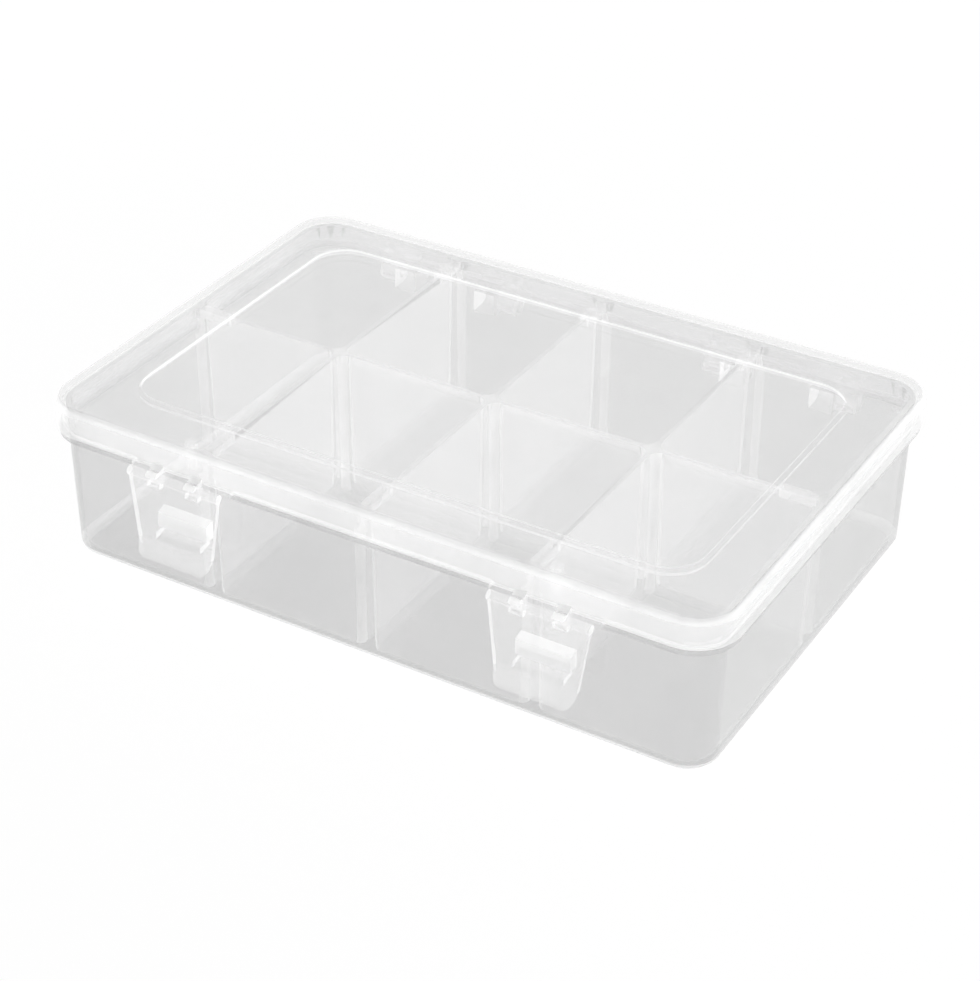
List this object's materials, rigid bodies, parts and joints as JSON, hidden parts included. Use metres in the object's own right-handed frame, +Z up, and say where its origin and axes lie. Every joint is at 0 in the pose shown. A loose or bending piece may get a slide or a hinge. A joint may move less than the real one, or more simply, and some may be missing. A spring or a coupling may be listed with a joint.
{
  "type": "compartment storage box",
  "caption": "Shallow clear rectangular box with fixed compartments, a hinged lid and front latches, for keeping small craft parts, beads or fasteners apart.",
  "frame": {"origin": "centre of the tray's flat underside, with the box closed", "axes": "+X along the box's length to the right as seen from the latches, +Y to the hinges at the back, +Z up"},
  "size_m": [0.2, 0.1435, 0.0477],
  "materials": {
    "clear_polypropylene": "clear moulded polypropylene, glossy with a slight haze"
  },
  "bodies": {
    "tray": {"tray": "clear_polypropylene"},
    "lid": {"lid": "clear_polypropylene"},
    "latch_left": {"latch_left": "clear_polypropylene"},
    "latch_right": {"latch_right": "clear_polypropylene"}
  },
  "joints": [
    {"name": "lid_hinge", "type": "hinge", "parent": "tray", "child": "lid", "pos_m": [0, 0.0678, 0.0331], "axis": [-1, 0, 0], "range_deg": [0, 180]},
    {"name": "latch_left_hinge", "type": "hinge", "parent": "lid", "child": "latch_left", "pos_m": [-0.05385, -0.0687, 0.0379], "axis": [-1, 0, 0], "range_deg": [0, 130]},
    {"name": "latch_right_hinge", "type": "hinge", "parent": "lid", "child": "latch_right", "pos_m": [0.05385, -0.0687, 0.0379], "axis": [-1, 0, 0], "range_deg": [0, 130]}
  ]
}
